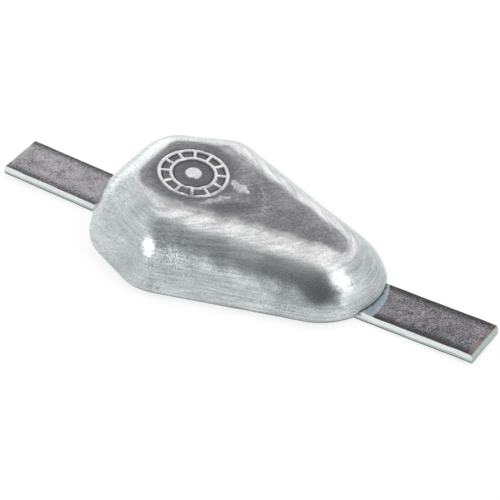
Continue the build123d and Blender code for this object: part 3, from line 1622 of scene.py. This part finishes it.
@dataclass
class Studio:
    """Pale floor, soft room and the camera.

    Attributes:
        azimuth: Camera's bearing, in degrees, 0 looking along +Y.
        elevation: Camera's height angle, in degrees.
        roll: Turn of the picture about the line of sight, in degrees.
        focal_pixels, picture_pixels: Focal length and width of the picture, in pixels.
        aim_right, aim_down: How far the middle of the picture lies from the origin, along its
            own right and down.
        distance: Distance from the camera's plane to the origin.
        sensor: Width of the sensor in millimetres.
        room: Level of the room's walls.
        patches: Lights and shades of the room; each is blended over the ones before it.
        floor_size, floor_drop: Side of the square floor, and how far it lies under the part.
    """

    azimuth: float = 31.803
    elevation: float = 38.601
    roll: float = -0.680
    focal_pixels: float = 2620.9
    aim_right: float = 0.004393
    aim_down: float = -0.001827
    distance: float = 1.474575
    picture_pixels: float = 500.0
    sensor: float = 36.0
    room: float = 0.88
    patches: tuple[SoftPatch, ...] = (
        SoftPatch(118.0, 0.0, 25.0, 60.0, 1.10),
        SoftPatch(150.0, 0.0, 14.0, 32.0, 1.75),
        SoftPatch(116.0, 40.0, 5.0, 20.0, 0.42),
        SoftPatch(100.0, 72.0, 12.0, 30.0, 1.02),
        SoftPatch(-74.0, 56.0, 6.0, 42.0, 0.40),
        SoftPatch(-50.0, 41.0, 13.0, 29.0, 0.22),
        SoftPatch(-27.0, 40.0, 10.0, 17.0, 0.17),
        SoftPatch(-22.0, 61.0, 7.0, 13.0, 0.25),
        SoftPatch(-24.0, 24.0, 6.0, 15.0, 0.36),
        SoftPatch(34.0, 61.0, 5.0, 12.0, 1.5),
        SoftPatch(2.0, 36.0, 5.0, 11.0, 2.2),
        SoftPatch(8.0, 51.0, 7.0, 14.0, 3.0),
        SoftPatch(-6.0, 18.0, 6.0, 12.5, 2.4),
        SoftPatch(-102.0, 26.0, 7.0, 18.5, 2.8),
    )
    floor_size: float = 12.0
    floor_drop: float = 0.0002

    def camera(self) -> bpy.types.Object:
        """Camera at the photograph's angle, aimed beside the origin by the stated offsets.

        Returns:
            The scene's camera.
        """
        azimuth, elevation = math.radians(self.azimuth), math.radians(self.elevation)
        back = Vector((
            math.sin(azimuth) * math.cos(elevation),
            -math.cos(azimuth) * math.cos(elevation),
            math.sin(elevation),
        ))
        right = (-back).cross(Vector((0.0, 0.0, 1.0))).normalized()
        down = (-back).cross(right)
        turn = math.radians(self.roll)
        rolled_right = right * math.cos(turn) + down * math.sin(turn)
        rolled_down = down * math.cos(turn) - right * math.sin(turn)
        aim = rolled_right * self.aim_right + rolled_down * self.aim_down
        data = bpy.data.cameras.new("camera")
        data.sensor_width = self.sensor
        data.lens = self.focal_pixels * self.sensor / self.picture_pixels
        data.clip_end = 50.0
        camera = bpy.data.objects.new("camera", data)
        axes = Matrix((rolled_right, -rolled_down, back)).transposed()
        camera.matrix_world = Matrix.Translation(aim + back * self.distance) @ axes.to_4x4()
        bpy.context.scene.collection.objects.link(camera)
        bpy.context.scene.camera = camera
        return camera

    def floor(self) -> bpy.types.Object:
        """White paper floor just under the part.

        Returns:
            The floor.
        """
        half = self.floor_size / 2
        mesh = bpy.data.meshes.new("paper_floor")
        corners = [(-half, -half), (half, -half), (half, half), (-half, half)]
        mesh.from_pydata([(x, y, -self.floor_drop) for x, y in corners], [], [(0, 1, 2, 3)])
        mesh.materials.append(PaleFloorFinish().material())
        floor = bpy.data.objects.new("paper_floor", mesh)
        bpy.context.scene.collection.objects.link(floor)
        return floor

    def light(self) -> None:
        """Soft room: one even level, blended by direction to each patch's own level."""
        world = bpy.data.worlds.new("soft_room")
        world.use_nodes = True
        bpy.context.scene.world = world
        bench = Bench(world.node_tree)
        heading = bench.node("ShaderNodeTexCoord", {}, {}, "Generated")
        level: Value = self.room
        for patch in self.patches:
            sockets = {0: heading, 1: patch.direction()}
            facing = bench.node(
                "ShaderNodeVectorMath", {"operation": "DOT_PRODUCT"}, sockets, "Value"
            )
            fade, full = (math.cos(math.radians(angle)) for angle in (patch.edge, patch.core))
            level = level + (patch.level - level) * facing.eased(fade, full)
        glow = bench.node("ShaderNodeBackground", {}, {"Color": bench.grey(level)})
        bench.end("ShaderNodeOutputWorld", glow)

    def build(self) -> None:
        """Set up the camera, the floor, the light and the view."""
        self.camera()
        self.floor()
        self.light()
        bpy.context.scene.view_settings.view_transform = "Standard"
        log.info("studio: camera, floor and soft room")


def plain(box: object) -> list[list[float]]:
    """A box as two plain lists of numbers."""
    return [[float(value) for value in corner] for corner in box]


def main() -> None:
    """Build the studio, the casting and the bar."""
    logging.basicConfig(level=logging.INFO, format="%(name)s: %(message)s")
    Studio().build()
    casting, strap = Casting(), StrapBar()
    casting.build(strap)
    strap.build(casting)


if __name__ == "__main__":
    main()
